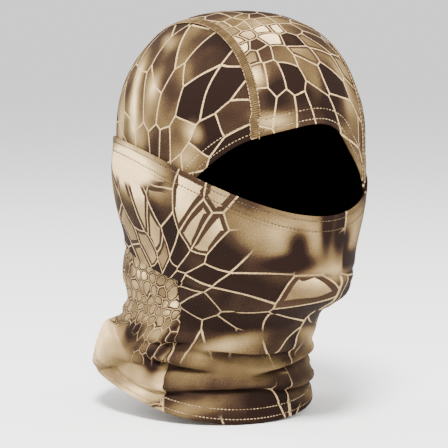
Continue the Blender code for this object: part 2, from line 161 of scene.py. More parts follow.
def on_head(points):
    """Points pushed straight out onto the head form: from the ear axis above the widest level."""
    x, y, z = np.moveaxis(np.asarray(points, float), -1, 0)
    centre, half_width, front, back = section(z)
    depth = np.where(y < centre, front, back)
    flat = np.hypot(x / half_width, (y - centre) / depth)
    tall = np.maximum(z - WIDEST_LEVEL, 0.0) / CROWN_DROP
    full = (flat**CROWN_FULLNESS + tall**CROWN_FULLNESS) ** (1 / CROWN_FULLNESS)
    size = np.where(z >= WIDEST_LEVEL, full, flat)
    level = np.where(z >= WIDEST_LEVEL, WIDEST_LEVEL + (z - WIDEST_LEVEL) / size, z)
    return columns_of(x / size, centre + (y - centre) / size, level)


def at_level(azimuth, level):
    """Points at azimuths and levels, above or below the widest level."""
    flat = around(azimuth, np.minimum(level, WIDEST_LEVEL))
    centre = section(WIDEST_LEVEL)[0]
    rise = np.clip((level - WIDEST_LEVEL) / CROWN_DROP, 0.0, 1.0)
    shrink = (1 - rise**CROWN_FULLNESS) ** (1 / CROWN_FULLNESS)
    x, y = flat[..., 0] * shrink, centre + (flat[..., 1] - centre) * shrink
    high = on_head(columns_of(x, y, level))
    return np.where((np.asarray(level) >= WIDEST_LEVEL)[..., None], high, flat)


def form_depth(points):
    """Below 0 inside the form, above 0 outside it."""
    axis = np.zeros_like(points)
    axis[..., 1] = section(points[..., 2])[0]
    axis[..., 2] = np.minimum(points[..., 2], WIDEST_LEVEL)
    return np.linalg.norm(points - axis, axis=-1) - np.linalg.norm(on_head(points) - axis, axis=-1)


def form_normal(points):
    step = 0.5
    gradient = [form_depth(points + step * axis) - form_depth(points - step * axis) for axis in np.eye(3)]
    return unit(np.stack(gradient, axis=-1))


def stand_off(points, lift):
    """Points of the form moved outward along its normals by lift."""
    points = on_head(points)
    return points + form_normal(points) * np.asarray(lift, float)[..., None]


def azimuth_of(points):
    centre, half_width, front, back = section(points[..., 2])
    depth = np.where(points[..., 1] < centre, front, back)
    return np.degrees(np.arctan2(points[..., 0] / half_width, (centre - points[..., 1]) / depth))


# ---- the edges


def along(rows, t):
    """A smooth curve through rows of numbers, t from 0 to 1."""
    last = len(rows) - 1
    place = np.clip(np.asarray(t, float), 0.0, 1.0) * last
    i = np.minimum(place.astype(int), last - 1)
    t = (place - i)[..., None]
    before, start = rows[np.maximum(i - 1, 0)], rows[i]
    end, after = rows[i + 1], rows[np.minimum(i + 2, last)]
    return 0.5 * (
        2 * start
        + (end - before) * t
        + (2 * before - 5 * start + 4 * end - after) * t**2
        + (3 * start - before - 3 * end + after) * t**3
    )


def opening_edge(t, inset=0.0):
    """The hood's opening edge, moved by inset into the cloth."""
    step = 0.002
    t, inset = np.broadcast_arrays(np.asarray(t, float), np.asarray(inset, float))
    point, ahead, behind = (
        at_level(*np.moveaxis(along(OPENING_EDGE, np.clip(t + shift, 0.0, 1.0)), -1, 0))
        for shift in (0.0, step, -step)
    )
    run = ahead - behind
    outward = point.copy()
    outward[..., 2] -= np.minimum(point[..., 2], WIDEST_LEVEL)
    return on_head(point + inset[..., None] * unit(np.cross(outward, run)))


def mask_edge_level(azimuth):
    angle = np.radians(azimuth)
    return MASK_EDGE_LOW + MASK_EDGE_RISE * (1 - np.cos(angle)) + MASK_EDGE_TEMPLE * (1 - np.cos(2 * angle))


def plane_level(azimuth, level, slope):
    """Where the meridian at each azimuth meets the plane z = level + slope * y."""
    z = np.full(np.shape(azimuth), float(level))
    for _ in range(12):
        z = 0.5 * z + 0.5 * (level + slope * around(azimuth, z)[..., 1])
    return z


def wrap(azimuth):
    """The azimuth brought to -180..180."""
    return (np.asarray(azimuth, float) + 180.0) % 360.0 - 180.0


def band_foot_level(azimuth):
    """The band's lower edge, in a tilted plane that the chin cuts off in front."""
    return np.maximum(plane_level(azimuth, BAND_FOOT_LEVEL, BAND_FOOT_SLOPE), CHIN_CUT)


def mask_foot_level(azimuth):
    """The mask cloth's lower edge: the band's edge behind, the jaw and the chin's underside in front."""
    return band_foot_level(azimuth) - CHIN_TURN * smooth((56.0 - np.abs(wrap(azimuth))) / 20.0)


def bottom_level(azimuth):
    """The bottom edge, which hangs a little unevenly."""
    azimuth = wrap(azimuth)
    sag = sum(depth * bump((azimuth - centre) / span) for centre, span, depth in BOTTOM_SAGS)
    return plane_level(azimuth, BOTTOM_LEVEL, BOTTOM_SLOPE) - sag


def side_seam_azimuth(level):
    return SIDE_SEAM_LOW + SIDE_SEAM_TURN * smooth((level - SIDE_SEAM_STRAIGHT) / SIDE_SEAM_SWEEP)


def seam_x(turn):
    """The crown seam's distance from the middle; turn is 0 at the brow, 1 on the crown, 2 at the nape."""
    front = SEAM_FRONT_X + (SEAM_CROWN_X - SEAM_FRONT_X) * turn
    return np.where(turn < 1, front, SEAM_CROWN_X + (SEAM_BACK_X - SEAM_CROWN_X) * (turn - 1))


def keep_x(point, x):
    """The form's points beside sagittal points, at exactly the distance x from the middle."""
    trial = np.array(x, float)
    for _ in range(25):
        moved = columns_of(trial, point[..., 1], point[..., 2])
        trial = trial + x - on_head(moved)[..., 0]
    return on_head(columns_of(trial, point[..., 1], point[..., 2]))


def hood_foot(azimuth):
    """The hood's lower edge, out of sight behind the band."""
    return around(azimuth, band_foot_level(azimuth) + FOOT_TUCK)


def opening_at_x(x, inset=HEM_WIDTH):
    """The place along the opening edge at which it crosses a distance x from the middle."""
    low, high = 0.0, 1.0
    for _ in range(40):
        middle = (low + high) / 2
        if opening_edge(middle, inset)[0] < x:
            low = middle
        else:
            high = middle
    return low


def seam_line(side, offset=0.0):
    """A crown seam as a function of 0..1, from the brow hem to the nape, moved sideways by offset."""
    start = opening_edge(opening_at_x(side * SEAM_FRONT_X), HEM_WIDTH)
    foot = hood_foot(NAPE_AZIMUTH)
    centre, _, front, back = section(WIDEST_LEVEL)
    first_angle = math.atan2(start[2] - WIDEST_LEVEL, -start[1])
    over = (math.pi - first_angle) * CROWN_DROP
    below = WIDEST_LEVEL - foot[2]

    def point(share):
        place = np.asarray(share, float) * (over + below)
        angle = first_angle + np.minimum(place, over) / CROWN_DROP
        x = side * (seam_x(2 * angle / math.pi) + offset)
        y = centre - np.cos(angle) * np.where(np.cos(angle) > 0, front, back)
        z = np.where(
            place <= over,
            WIDEST_LEVEL + np.sin(angle) * CROWN_DROP,
            WIDEST_LEVEL - (place - over),
        )
        return keep_x(columns_of(0 * x, y, z), x)

    return point


# ---- meshes


def add_object(name, data):
    piece = bpy.data.objects.new(name, data)
    bpy.context.scene.collection.objects.link(piece)
    return piece


def add_attribute(mesh, name, values):
    values = np.asarray(values, np.float32)
    if values.ndim == 1:
        mesh.attributes.new(name, "FLOAT", "POINT").data.foreach_set("value", values)
        return
    if values.shape[1] == 2:
        values = np.concatenate((values, np.zeros((len(values), 1), np.float32)), axis=1)
    mesh.attributes.new(name, "FLOAT_VECTOR", "POINT").data.foreach_set("vector", values.ravel())


def grid_faces(rows, columns, closed_rows, closed_columns):
    down = np.arange(rows if closed_rows else rows - 1)
    across = np.arange(columns if closed_columns else columns - 1)
    j, i = (a.ravel() for a in np.meshgrid(down, across, indexing="ij"))
    k, n = (j + 1) % rows, (i + 1) % columns
    return np.stack((j * columns + i, j * columns + n, k * columns + n, k * columns + i), axis=1)


def cells_per_mm(grid, cell):
    """How fast the print's cells pass along each direction on the cloth: a 2 x 2 form, as (xx, xy, yy),
    and a typical width of the cells there in mm."""
    along_row, along_column = np.gradient(grid, axis=1), np.gradient(grid, axis=0)
    across, down = np.gradient(cell, axis=1), np.gradient(cell, axis=0)
    row2 = np.sum(along_row**2, axis=-1)
    column2 = np.sum(along_column**2, axis=-1)
    mixed = np.sum(along_row * along_column, axis=-1)
    area2 = np.maximum(row2 * column2 - mixed**2, 1e-6)

    def entry(a, b):
        crossed = across[..., a] * down[..., b] + down[..., a] * across[..., b]
        squared = column2 * across[..., a] * across[..., b] + row2 * down[..., a] * down[..., b]
        return (squared - mixed * crossed) / area2

    form = columns_of(entry(0, 0), entry(0, 1), entry(1, 1))
    spread = np.maximum(form[..., 0] * form[..., 2] - form[..., 1] ** 2, 1e-9)
    return form, np.clip(spread**-0.25, 3.0, 40.0)


def grid_mesh(name, grid, closed_rows=False, closed_columns=False, **attributes):
    """A mesh of quads over a grid of points (rows, columns, 3) in millimetres, its faces turned outward."""
    rows, columns = grid.shape[:2]
    points = grid.reshape(-1, 3)
    faces = grid_faces(rows, columns, closed_rows, closed_columns)
    quads = points[faces]
    normals = np.cross(quads[:, 2] - quads[:, 0], quads[:, 3] - quads[:, 1])
    middles = quads.mean(axis=1)
    outward = form_normal(middles)
    area = np.linalg.norm(normals, axis=1)
    if closed_rows:
        centre = points.reshape(rows, columns, 3).mean(axis=0)[faces[:, 0] % columns]
        outward = middles - centre
    if np.sum(np.sum(normals * outward, axis=1) * area) < 0:
        faces = faces[:, ::-1]
    mesh = bpy.data.meshes.new(name)
    mesh.from_pydata((points * MM).tolist(), [], faces.tolist())
    mesh.shade_smooth()
    if "cell" in attributes:
        attributes["form"], attributes["size"] = cells_per_mm(grid, attributes["cell"])
    for label, values in attributes.items():
        values = np.asarray(values, float)
        add_attribute(mesh, label, values.reshape(len(points), *values.shape[2:]))
    return add_object(name, mesh)


def thicken(piece, thickness):
    """Gives a sheet its cloth thickness, outward."""
    shell = piece.modifiers.new("cloth thickness", "SOLIDIFY")
    shell.thickness = thickness * MM
    shell.offset = 1.0
    shell.use_even_offset = False
    return piece


def coons(low, high, left, right):
    """A grid over a four-sided patch, from points along its low, high, left and right sides."""
    u = np.linspace(0, 1, len(low))[None, :, None]
    v = np.linspace(0, 1, len(left))[:, None, None]
    ruled = (1 - v) * low + v * high + (1 - u) * left[:, None] + u * right[:, None]
    corners = (1 - v) * ((1 - u) * low[0] + u * low[-1]) + v * ((1 - u) * high[0] + u * high[-1])
    return ruled - corners


# ---- the print's layout


def arc_of(azimuth):
    """Distance round the head, in mm from the front, for an azimuth: along an average section."""
    turns = np.radians(np.linspace(0, 360, 721))
    x, y = 73.0 * np.sin(turns), -98.0 * np.cos(turns)
    steps = np.hypot(np.diff(x), np.diff(y))
    lengths = np.concatenate(([0.0], np.cumsum(steps)))
    azimuth = np.asarray(azimuth, float)
    whole = np.floor(azimuth / 360.0)
    return whole * lengths[-1] + np.interp(azimuth - 360.0 * whole, np.degrees(turns), lengths)


FAN_REACH = 60.0


def fan(chart, centre, turn, width, stretch, close=0.52):
    """Cells that fan out from a centre and grow with distance. width is theirs, in mm, FAN_REACH mm out,
    stretch is their length over their width, and turn is the direction that the cells part from."""
    offset = chart - np.asarray(centre, float)
    distance = np.maximum(np.hypot(offset[..., 0], offset[..., 1]), 1.0)
    angle = (np.degrees(np.arctan2(offset[..., 1], offset[..., 0])) - turn) % 360.0
    angle = np.radians(angle - 180.0) * close * stretch
    per_unit = width * close * stretch * (distance / FAN_REACH) ** (1 - close)
    radius = FAN_REACH / (width * close * stretch) * (distance / FAN_REACH) ** close
    cell = columns_of(radius * np.cos(angle), radius * np.sin(angle)) + 20.0
    return cell, per_unit / (close * stretch)


def airbrush(chart, base, strokes):
    """A soft tone over a chart: strokes are (x, y, half length, half width, tilt, strength)."""
    tone = np.full(chart.shape[:-1], float(base))
    for x, y, length, width, tilt, strength in strokes:
        c, s = math.cos(math.radians(tilt)), math.sin(math.radians(tilt))
        offset = chart - np.array((x, y))
        lengthways = (offset[..., 0] * c + offset[..., 1] * s) / length
        sideways = (offset[..., 1] * c - offset[..., 0] * s) / width
        tone = tone + strength * bump(np.hypot(lengthways, sideways))
    return tone


def ear_chart(points, side):
    """A side panel laid flat round the ear: x runs back, y runs up, in mm."""
    ear_radius = 96.0
    offset = unit(points - np.array((0.0, 1.0, WIDEST_LEVEL)))
    tilt = np.arccos(np.clip(side * offset[..., 0], -1, 1))
    spread = np.maximum(np.hypot(offset[..., 1], offset[..., 2]), 1e-6)
    return ear_radius * (tilt / spread)[..., None] * offset[..., 1:]


def crown_chart(points):
    """The crown panel laid flat: x across it, y over the crown from the brow back, in mm."""
    angle = np.arctan2(points[..., 2] - WIDEST_LEVEL, 1.0 - points[..., 1])
    below = np.where(points[..., 1] > 0, np.maximum(WIDEST_LEVEL - points[..., 2], 0.0), 0.0)
    turned = np.where(points[..., 2] >= WIDEST_LEVEL, angle, np.where(points[..., 1] > 0, math.pi, angle))
    return columns_of(points[..., 0], 99.0 * turned + below)


def wrap_chart(azimuth, level):
    """The mask and neck cloth laid flat: x round the head from the front, y the level, in mm."""
    return columns_of(np.sign(azimuth) * arc_of(np.abs(azimuth)), level + 0 * azimuth)


# Zones and glows are soft: (x, y, half length, half width, tilt, strength). Zones count as the cells' own
# tone and glows lie over them. Spots recolour whole cells: (x, y, reach, strength).
SIDE_FAN = (-24.0, -46.0)
SIDE_BASE = 0.29
SIDE_SPOTS = (
    (-59, 49, 12, -0.3), (-72, 28, 12, -0.3), (-78, 60, 9, -0.3), (-91, 8, 10, -0.3),
    (-62, 78, 8.5, 0.55), (-66, -14, 8, 0.55),
)
SIDE_GLOWS = (
    (-60, 15, 13, 9, 60, 0.55), (-52, -4, 12, 8, 0, 0.2), (19, 34, 26, 8, 75, 0.62),
    (24, 62, 14, 8, 60, 0.35), (-7, 50, 13, 8, 65, 0.42), (5, 88, 16, 6, 20, 0.35),
    (-34, 66, 20, 8, 50, 0.14), (4, 6, 20, 10, 80, 0.18), (-36, 8, 16, 10, 80, 0.1),
    (46, 10, 40, 12, 80, 0.3), (14, 34, 54, 44, 80, 0.2),
)
CROWN_CELL = (9.0, 10.5)
CROWN_SMALLEST = (-28.0, 96.0)
CROWN_GROWTH = 24.0
CROWN_BASE = 0.46
CROWN_ZONES = (
    (4, 34, 22, 20, 0, -0.3), (-32, 36, 14, 14, 0, -0.3), (0, 190, 50, 60, 0, -0.25),
)
CROWN_SPOTS = (
    (-27, 98, 6, 0.45), (-36, 89, 5, 0.5), (-21, 88, 5.5, 0.5), (-13, 97, 6, 0.4),
    (-11, 71, 8, -0.5), (3, 79, 8, -0.5), (-12, 84, 6, -0.45), (-14, 53, 9, -0.5),
    (10, 58, 8, -0.35),
)
CROWN_GLOWS = (
    (-40, 58, 7, 9, 0, 0.4), (-34, 24, 10, 6, 0, 0.35), (0, 44, 6, 14, 0, 0.2),
    (26, 46, 6, 22, 0, 0.3), (-10, 108, 20, 8, 0, 0.2),
)


def print_layout(cell, knit, chart, base, zones, glows, bare=(), gap=0.0):
    """The attributes that a print reads: its cells, the knit's own chart, tones, and how far lines show."""
    tone, glow = airbrush(chart, base, zones), airbrush(chart, 0.0, glows)
    lines = np.clip(airbrush(chart, 1.0, bare) - gap, 0.0, 1.0)
    return {"cell": cell, "knit": knit, "tone": tone, "glow": glow, "lines": lines}


def choose(where, first, second):
    """One print where a condition holds and another elsewhere."""
    def pick(a, b):
        return np.where(where[..., None] if a.ndim > where.ndim else where, a, b)

    return {key: pick(first[key], second[key]) for key in first}


def side_cells(chart):
    return fan(chart, SIDE_FAN, -90.0, 16.5, 1.9)


def toward_middle(chart, middle, growth):
    """Offsets from a middle, drawn in so that cells grow with distance, and the distances."""
    offset = chart - np.array(middle)
    distance = np.maximum(np.hypot(offset[..., 0], offset[..., 1]), 1e-6)
    return offset * (np.arcsinh(distance / growth) * growth / distance)[..., None], distance


def crown_cells(chart):
    cell, distance = toward_middle(chart, CROWN_SMALLEST, CROWN_GROWTH)
    return cell / np.array(CROWN_CELL) + 111.3, CROWN_CELL[0] * np.hypot(1.0, distance / CROWN_GROWTH)


def side_print(points, side):
    chart = ear_chart(points, side)
    cell = side_cells(chart)[0] + (43.7 if side > 0 else 0.0)
    return print_layout(cell, chart, chart, SIDE_BASE, (), SIDE_GLOWS)


def crown_print(points):
    chart = crown_chart(points)
    return print_layout(crown_cells(chart)[0], chart, chart, CROWN_BASE, CROWN_ZONES, CROWN_GLOWS)


def hood_print(points):
    """The print on the brow hem, which carries on from whichever panel is above it."""
    x = points[..., 0]
    ahead = choose(x > SEAM_FRONT_X, side_print(points, 1), crown_print(points))
    return choose(x < -SEAM_FRONT_X, side_print(points, -1), ahead)


WRAP_FAN = (-119.0, -194.0)
WRAP_MIRROR = 14.0  # the azimuth past which the print is mirrored
WRAP_BASE = 0.16
WRAP_ZONES = (
    (-152, -108, 42, 17, -6, 1.3), (-24, -146, 44, 20, -8, 0.48), (-20, -168, 34, 14, 0, 0.3),
    (12, -178, 26, 10, 0, 0.3), (-210, -132, 40, 30, 0, 0.3), (-24, -256, 90, 22, 0, 0.23),
    (10, -276, 26, 12, 0, -0.2),
)
WRAP_SPOTS = (
    (-90, -124, 15, 0.58), (-72, -140, 15, 0.58), (-130, -154, 12, 0.56), (-146, -168, 10, 0.5),
    (-50, -166, 9, 0.4), (-14, -190, 10, 0.32),
)
WRAP_GLOWS = (
    (-19, -158, 7, 10, 0, -0.6), (-24, -171, 16, 6, 0, -0.6), (1, -148, 4, 14, 0, -0.6),
    (13, -152, 5, 9, 0, -0.6), (24, -146, 5, 14, 10, -0.6), (-4, -180, 30, 5, 0, 0.14),
    (-34, -229, 24, 6, 8, 0.42), (-58, -238, 20, 6, 8, 0.2), (-4, -250, 22, 5, 0, 0.1),
    (-34, -262, 26, 5, 0, -0.1), (16, -272, 20, 7, 0, -0.3), (-66, -284, 40, 8, 8, 0.34),
)
WRAP_BARE = (
    (-26, -146, 34, 18, -8, -1.6), (-14, -168, 32, 10, 0, -1.4), (18, -168, 14, 14, 0, -1.3),
    (-150, -105, 38, 15, -6, -1.8), (-36, -229, 24, 7, 8, -1.2), (-40, -260, 70, 20, 0, -1.3),
    (14, -280, 16, 12, 0, 1.2), (-70, -282, 40, 16, 6, -1.4), (-50, -204, 70, 20, 8, -0.45),
)
NECK_TOP = -224.0
NECK_WIDENING = 0.6


def wrap_cells(chart):
    """The mask's cells; those over the neck are longer and wider."""
    lowered = chart * 1.0
    lowered[..., 1] = chart[..., 1] + (1 - NECK_WIDENING) * np.maximum(NECK_TOP - chart[..., 1], 0.0)
    return fan(lowered, WRAP_FAN, -130.0, 15.5, 2.2)


def wrap_print(azimuth, level):
    """The mask's and front neck's print; past WRAP_MIRROR it is mirrored, with other cells."""
    azimuth = wrap(azimuth)
    chart = wrap_chart(azimuth, level)
    left = azimuth > WRAP_MIRROR
    mirrored = chart * columns_of(np.where(left, -1.0, 1.0), np.ones_like(azimuth))
    cell = wrap_cells(mirrored)[0] + np.where(left, 45.3, 0.0)[..., None]
    back_gap = smooth((np.abs(azimuth) - 172.0) / 6.0)
    return print_layout(cell, chart, mirrored, WRAP_BASE, WRAP_ZONES, WRAP_GLOWS, WRAP_BARE, back_gap)


NAPE_CELL = 8.6
NAPE_SMALLEST = (-124.0, -206.0)
NAPE_GROWTH = 36.0
NAPE_BASE = 0.66
NAPE_ZONES = (
    (-118, -236, 40, 20, 0, -0.26),
)
NAPE_GLOWS = (
    (-107, -208, 7, 6, 0, 0.6), (-150, -186, 12, 8, 0, 0.3), (-175, -188, 12, 6, 0, -0.35),
    (-101, -250, 8, 10, 20, -0.75), (-144, -232, 12, 6, 0, -0.75), (-92, -232, 6, 12, 0, -0.7),
    (-188, -254, 34, 14, 20, 0.26), (-120, -276, 40, 7, 10, 0.22), (-150, -262, 30, 5, 14, -0.16),
)
NAPE_BARE = (
    (-176, -252, 46, 18, 14, -1.9), (-124, -272, 60, 14, 10, -1.9),
)


def nape_print(azimuth, level):
    """The back neck's honeycomb, smallest beside the right side seam and mirrored on the left."""
    chart = columns_of(arc_of(azimuth), level + 0 * azimuth)
    right = np.minimum(chart[..., 0], arc_of(360.0) - chart[..., 0])
    folded = columns_of(-right, chart[..., 1])
    cell = toward_middle(folded, NAPE_SMALLEST, NAPE_GROWTH)[0] / NAPE_CELL
    return print_layout(cell, chart, folded, NAPE_BASE, NAPE_ZONES, NAPE_GLOWS, NAPE_BARE)


# ---- materials


class Graph:
    """Short forms for building a material's node tree."""

    def __init__(self, name):
        self.material = bpy.data.materials.new(name)
        self.material.use_nodes = True
        self.tree = self.material.node_tree
        self.shader = self.tree.nodes["Principled BSDF"]

    def set(self, socket, value):
        if isinstance(value, bpy.types.NodeSocket):
            self.tree.links.new(value, socket)
        else:
            socket.default_value = value

    def node(self, kind, inputs=None, **settings):
        node = self.tree.nodes.new(kind)
        for key, value in settings.items():
            setattr(node, key, value)
        for key, value in (inputs or {}).items():
            self.set(node.inputs[key], value)
        return node

    def attribute(self, name, output):
        return self.node("ShaderNodeAttribute", attribute_name=name).outputs[output]

    def math(self, operation, *values):
        return self.node("ShaderNodeMath", dict(enumerate(values)), operation=operation).outputs[0]

    plus = partialmethod(math, "ADD")
    minus = partialmethod(math, "SUBTRACT")
    times = partialmethod(math, "MULTIPLY")
    over = partialmethod(math, "DIVIDE")
    times_plus = partialmethod(math, "MULTIPLY_ADD")

    def vector(self, operation, *values):
        return self.node("ShaderNodeVectorMath", dict(enumerate(values)), operation=operation).outputs[0]

    def measure(self, operation, *values):
        """A number from vectors: a length, a distance or a dot product."""
        node = self.node("ShaderNodeVectorMath", dict(enumerate(values)), operation=operation)
        return node.outputs["Value"]

    def parts(self, vector):
        return self.node("ShaderNodeSeparateXYZ", {"Vector": vector}).outputs

    def noise(self, vector, scale, detail=2.0, dimensions="2D", output="Fac"):
        inputs = {"Vector": vector, "Scale": scale, "Detail": detail}
        return self.node("ShaderNodeTexNoise", inputs, noise_dimensions=dimensions).outputs[output]

    def step(self, value, start, end):
        """0 where value is at start, 1 where it is at end, smooth between."""
        inputs = {"Value": value, "From Min": start, "From Max": end}
        return self.node("ShaderNodeMapRange", inputs, interpolation_type="SMOOTHSTEP").outputs["Result"]

    def mix(self, factor, a, b):
        a, b = (c if isinstance(c, bpy.types.NodeSocket) else (*c, 1.0) for c in (a, b))
        return self.node("ShaderNodeMix", {0: factor, 6: a, 7: b}, data_type="RGBA").outputs[2]

    def ramp(self, factor, stops):
        node = self.node("ShaderNodeValToRGB", {"Fac": factor})
        elements = node.color_ramp.elements
        while len(elements) < len(stops):
            elements.new(0.5)
        for element, (place, colour) in zip(elements, stops):
            element.position = place
            element.color = (*colour, 1.0)
        return node.outputs["Color"]

    def finish(self, colour, height, depth, roughness, sheen, sheen_tint):
        relief = self.node("ShaderNodeBump", {"Height": height, "Distance": depth * MM, "Strength": 1.0})
        for key, value in (
            ("Normal", relief.outputs[0]),
            ("Base Color", colour),
            ("Roughness", roughness),
            ("Specular IOR Level", CLOTH_SPECULAR),
            ("Sheen Weight", sheen),
            ("Sheen Roughness", SHEEN_ROUGHNESS),
            ("Sheen Tint", (*sheen_tint, 1.0)),
        ):
            self.set(self.shader.inputs[key], value)
        return self.material


CLOTH_SPECULAR = 0.03
SHEEN_ROUGHNESS = 0.45
DARK_BROWN = (0.0105, 0.0052, 0.0038)
BROWN = (0.033, 0.0180, 0.0102)
KHAKI = (0.110, 0.071, 0.029)
TAN = (0.200, 0.134, 0.062)
SAND = (0.370, 0.255, 0.122)
CREAM = (0.850, 0.610, 0.320)
LINE = (0.620, 0.440, 0.230)
# The print's colours from its darkest tone, 0, to its lightest, 1
PRINT_RAMP = (
    (0.0, DARK_BROWN),
    (0.2, DARK_BROWN),
    (0.36, BROWN),
    (0.5, KHAKI),
    (0.62, TAN),
    (0.78, SAND),
    (1.0, CREAM),
)
BROAD_MOTTLE = 0.4
FINE_MOTTLE = 0.14
LINE_RAGGED = 0.22  # how far a line's edge wanders, in mm
LINE_SOFT = 0.16  # half the width over which it fades, in mm
LINE_GROWTH = 0.012  # how much a line widens for each mm of its cell
RIM_SHARE = 0.12  # a light cell's dark border, as a share of the cell
RIM_SOFT = 0.25
KNIT_SHADE = 0.34  # painted shade between the knit's loops: how far the print darkens there
KNIT_PITCH = 1.9
HEX_FAR = 400.0  # keeps the honeycomb's coordinates above 0


def knit_height(g, knit):
    """Rows of fine knit loops: a wave across, shifted by half a loop from row to row."""
    across, down = (g.math("SINE", g.times(g.parts(knit)[key], 2 * math.pi / KNIT_PITCH)) for key in "XY")
    return g.times_plus(g.times(across, down), 0.5, 0.5)


def hex_cells(g, place, form):
    """Distance in mm to the edge of a honeycomb cell, the cell's middle, and a chance number for it."""
    tall = math.sqrt(3.0)
    offsets = []
    for far in (HEX_FAR, HEX_FAR + 0.5):
        moved = g.vector("MODULO", g.vector("ADD", place, (far, far * tall, 0.0)), (1.0, tall, 1.0))
        offsets.append(g.vector("SUBTRACT", moved, (0.5, tall / 2, 0.5)))
    nearer = g.math("LESS_THAN", *(g.measure("LENGTH", offset) for offset in offsets))
    inputs = {0: nearer, 4: offsets[1], 5: offsets[0]}
    chosen = g.node("ShaderNodeMix", inputs, data_type="VECTOR").outputs[1]
    x, y, _ = g.parts(g.vector("ABSOLUTE", chosen))
    slant = g.plus(g.times(x, 0.5), g.times(y, tall / 2))
    edge = g.minus(0.5, g.math("MAXIMUM", x, slant))
    middle = g.vector("SUBTRACT", place, chosen)
    snapped = g.vector("SNAP", middle, (0.25, 0.25, 0.25))
    chance = g.node("ShaderNodeTexWhiteNoise", {"Vector": snapped}, noise_dimensions="2D").outputs["Value"]
    xx, _, yy = g.parts(form)
    return g.over(edge, g.math("SQRT", g.times(g.plus(xx, yy), 0.5))), middle, chance


def scale_cells(g, place, form, randomness):
    """The same for irregular, round-cornered cells: the edge is midway between the two nearest middles."""
    inputs = {"Vector": place, "Scale": 1.0, "Randomness": randomness}
    own = g.node("ShaderNodeTexVoronoi", inputs, feature="F1", voronoi_dimensions="2D")
    other = g.node("ShaderNodeTexVoronoi", inputs, feature="F2", voronoi_dimensions="2D")
    near, far = own.outputs["Distance"], other.outputs["Distance"]
    apart = g.vector("SUBTRACT", other.outputs["Position"], own.outputs["Position"])
    gap = g.math("MAXIMUM", g.measure("LENGTH", apart), 0.001)
    x, y, _ = g.parts(apart)
    squares = {0: g.times(x, x), 1: g.times(g.times(x, y), 2.0), 2: g.times(y, y)}
    metric = g.measure("DOT_PRODUCT", g.node("ShaderNodeCombineXYZ", squares).outputs[0], form)
    rate = g.over(g.math("SQRT", g.math("MAXIMUM", metric, 1e-6)), gap)
    difference = g.minus(far, near)
    straight = g.over(g.times(difference, g.plus(far, near)), gap)
    mean = g.times(g.plus(straight, difference), 0.25)
    chance = g.node("ShaderNodeSeparateColor", {"Color": own.outputs["Color"]}).outputs[0]
    return g.over(mean, rate), own.outputs["Position"], chance


def cell_spots(layout, spots):
    """Spots given in mm on a chart, turned into the cells' own coordinates."""
    placed = []
    for x, y, reach, strength in spots:
        cell, width = layout(np.array((x, y)))
        placed.append(((float(cell[0]), float(cell[1]), 0.0), reach / float(width), strength))
    return placed


def print_cloth(name, randomness, contrast, spots=(), warp=0.1, line_half=0.2):
    """Printed knit: scale-like cells, light lines, dark borders round light cells, soft airbrushed tones."""
    g = Graph(name)
    cell, knit, form = (g.attribute(key, "Vector") for key in ("cell", "knit", "form"))
    tone, glow, lines, size = (g.attribute(key, "Fac") for key in ("tone", "glow", "lines", "size"))

    wobble = g.vector("SUBTRACT", g.noise(cell, 0.8, 0.0, output="Color"), (0.5, 0.5, 0.5))
    place = g.vector("ADD", cell, g.vector("MULTIPLY", wobble, (2 * warp,) * 3))
    if randomness:
        edge, middle, chance = scale_cells(g, place, form, randomness)
    else:
        edge, middle, chance = hex_cells(g, place, form)

    broad, grain, ragged = g.noise(knit, 0.028), g.noise(knit, 0.9, 3.0), g.noise(knit, 0.35)
    shown = g.step(lines, 0.15, 0.6)
    shift = g.times(g.minus(chance, 0.5), contrast)
    for centre, reach, strength in spots:
        covered = g.step(g.measure("DISTANCE", middle, centre), reach * 1.1, reach * 0.9)
        shift = g.times_plus(covered, strength, shift)
    own_tone = g.times_plus(shift, shown, tone)
    tone = g.times_plus(g.minus(broad, 0.5), BROAD_MOTTLE, g.plus(own_tone, glow))
    tone = g.times_plus(g.minus(grain, 0.5), FINE_MOTTLE, tone)

    edge = g.times_plus(g.minus(ragged, 0.5), LINE_RAGGED, edge)
    past_line = g.minus(edge, g.times_plus(size, LINE_GROWTH, line_half))
    inked = g.times(shown, g.times_plus(lines, 0.8, 0.2))
    line = g.times(g.step(past_line, LINE_SOFT, -LINE_SOFT), inked)
    past_rim = g.minus(past_line, g.times(size, RIM_SHARE))
    rim = g.times(g.step(past_rim, RIM_SOFT, -RIM_SOFT), g.step(own_tone, 0.42, 0.56))
    printed = g.mix(g.times(rim, shown), g.ramp(tone, PRINT_RAMP), BROWN)
    printed = g.mix(line, printed, g.mix(g.step(grain, 0.35, 0.7), SAND, LINE))

    loops = knit_height(g, knit)
    # Painted shade between the knit's loops: the print darkens towards DARK_BROWN where the loops dip
    shaded = g.mix(g.times(g.step(loops, 0.6, 0.0), KNIT_SHADE), printed, DARK_BROWN)
    return g.finish(shaded, loops, 0.2, 0.7, 0.015, SAND)


def plain_cloth(name, colour, dark, roughness=0.8, depth=0.08):
    g = Graph(name)
    knit = g.attribute("knit", "Vector")
    loops = knit_height(g, knit)
    # Painted shade between the knit's loops, broken by a random mottle: the colour falls towards dark where
    # the loops dip
    shaded = g.mix(g.times(loops, g.noise(knit, 0.08, 3.0)), dark, colour)
    return g.finish(shaded, loops, depth, roughness, 0.1, colour)


def thread(name, colour, dark, twist_mm=0.5):
    """Sewing thread: a fine twist along it, and stitches that differ a little in shade."""
    g = Graph(name)
    place = g.node("ShaderNodeTexCoord").outputs["Object"]
    shade = g.noise(place, 160.0, 1.0, "3D")
    strands = g.noise(place, 1.0 / (twist_mm * MM), 1.0, "3D")
    return g.finish(g.mix(g.step(shade, 0.35, 0.65), dark, colour), strands, 0.05, 0.55, 0.15, colour)


